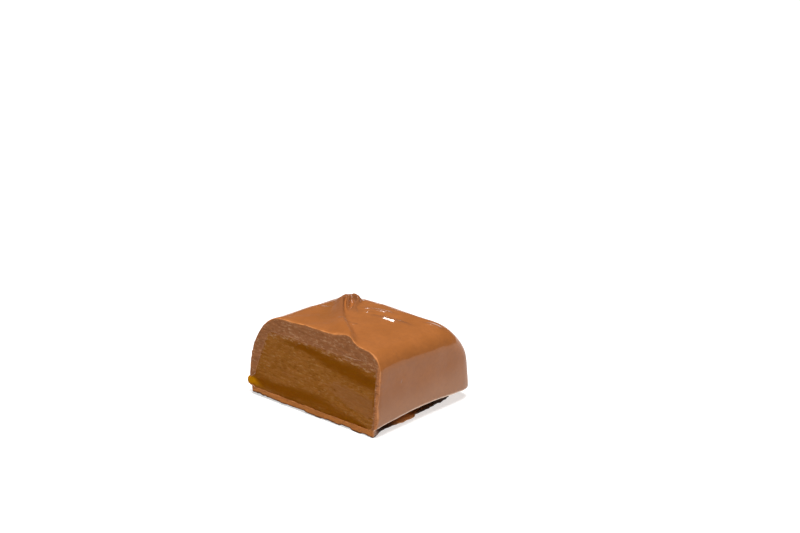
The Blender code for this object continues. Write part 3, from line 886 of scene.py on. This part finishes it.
# %% [markdown]
# # Caramel
#
# The painted shares are broken up by streaks of noise, which are long along the cut and thin across it,
# and decide between the colours. Light goes a little way in, which subsurface scattering gives, and the
# torn places get a bump.

# %% Finish the caramel
def painted_share(tree, name, streaks, raggedness, low=0.35, high=0.65):
    """A painted attribute with its border broken up by streaks."""
    offset = node(tree, "Math", {0: streaks, 1: 0.5}, operation="SUBTRACT").outputs[0]
    ragged = times(tree, offset, raggedness)
    moved = node(tree, "Math", {0: ragged, 1: painted(tree, name)}, operation="ADD").outputs[0]
    return between(tree, moved, low, high)


caramel, tree, shader = new_finish("caramel")
turn = (0.0, STREAK_SLANT, 0.0)
long_streaks = noise_pattern(tree, in_millimetres(tree, (0.10, 1.0, 1.0), turn), 0.9, 3.0, 0.6)
thin_streaks = noise_pattern(tree, in_millimetres(tree, (0.16, 1.0, 1.0), turn), 2.6, 5.0, 0.7)
crumbs = noise_pattern(tree, in_millimetres(tree, (0.38, 1.0, 1.2), turn), 2.8, 5.0, 0.7)
gold_share = painted_share(tree, "gold", long_streaks, 1.3, 0.22, 0.95)
pale_share = painted_share(tree, "pale", crumbs, 1.2)
smear_share = painted_share(tree, "smear", crumbs, 1.6, 0.25, 0.75)
tip_share = painted_share(tree, "tip", long_streaks, 0.3, 0.25, 0.8)
color = blend(tree, between(tree, thin_streaks, 0.3, 0.7),
              (0.225, 0.077, 0.007, 1.0), (0.30, 0.112, 0.022, 1.0))
color = blend(tree, between(tree, crumbs, 0.46, 0.33, 0.0, 0.7), color, (0.15, 0.045, 0.001, 1.0))
color = blend(tree, between(tree, crumbs, 0.52, 0.66, 0.0, 0.7), color, (0.37, 0.175, 0.06, 1.0))
color = blend(tree, times(tree, pale_share, 0.6), color, (0.27, 0.105, 0.032, 1.0))
color = blend(tree, smear_share, color, (0.255, 0.095, 0.032, 1.0))
color = blend(tree, times(tree, gold_share, 0.95), color, (0.185, 0.053, 0.0002, 1.0))
edge_crumbs = times(tree, between(tree, crumbs, 0.5, 0.62), between(tree, smear_share, 0.1, 0.6))
color = blend(tree, times(tree, edge_crumbs, 0.6), color, (0.46, 0.24, 0.11, 1.0))
line_share = painted_share(tree, "line", crumbs, 0.8)
color = blend(tree, times(tree, line_share, 0.7), color, (0.44, 0.22, 0.09, 1.0))
color = blend(tree, tip_share, color, (0.46, 0.18, 0.001, 1.0))
tree.links.new(color, shader.inputs["Base Color"])
shader.inputs["Roughness"].default_value = 0.5
shader.inputs["Specular IOR Level"].default_value = 0.005
shader.inputs["Subsurface Weight"].default_value = 0.25
shader.inputs["Subsurface Radius"].default_value = (1.0, 0.45, 0.12)
shader.inputs["Subsurface Scale"].default_value = 0.5 * MM
bump = node(tree, "Bump", {"Height": crumbs, "Distance": 0.25 * MM, "Strength": 0.7})
tree.links.new(bump.outputs["Normal"], shader.inputs["Normal"])
filling.data.materials.clear()
filling.data.materials.append(caramel)
print("caramel finish", len(tree.nodes), "nodes")

# %% [markdown]
# # The table and the light
#
# The photograph was taken on white, under a large soft light from above. The white table throws light
# back up onto the walls, which is why they look hazy and never go dark. Hardly any shadow shows on it, so
# it also glows a little. A second, smaller light hangs on the left and draws the white glints on the swirl.

# %% Lay the table
bpy.ops.object.select_all(action="DESELECT")
bpy.ops.mesh.primitive_plane_add(size=6.0)
table = added("table")
table_finish, tree, shader = new_finish("white_table")
shader.inputs["Base Color"].default_value = (0.5, 0.5, 0.5, 1.0)
shader.inputs["Emission Color"].default_value = (1.0, 1.0, 1.0, 1.0)
shader.inputs["Emission Strength"].default_value = 0.6
shader.inputs["Roughness"].default_value = 0.8
shader.inputs["Specular IOR Level"].default_value = 0.1
table.data.materials.append(table_finish)

# %% Hang the lights
def area_light(name, place, size, power):
    """A square light that looks at the sweet."""
    bpy.ops.object.light_add(type="AREA", location=place)
    light = bpy.context.object
    light.name = name
    light.rotation_euler = Vector(place).to_track_quat("Z", "Y").to_euler()
    light.data.size = size
    light.data.energy = power
    return light


area_light("overhead", (0.14, -0.05, 0.79), 0.4, 9.6)
area_light("glint", (-0.336, 0.064, 0.72), 0.17, 2.8)

world = bpy.data.worlds.new("studio")
bpy.context.scene.world = world
world.use_nodes = True
tree = world.node_tree
seen = node(tree, "LightPath").outputs["Is Camera Ray"]
paper = blend(tree, seen, (0.05, 0.05, 0.055, 1.0), (0.95, 0.95, 0.95, 1.0))
tree.links.new(paper, tree.nodes["Background"].inputs["Color"])
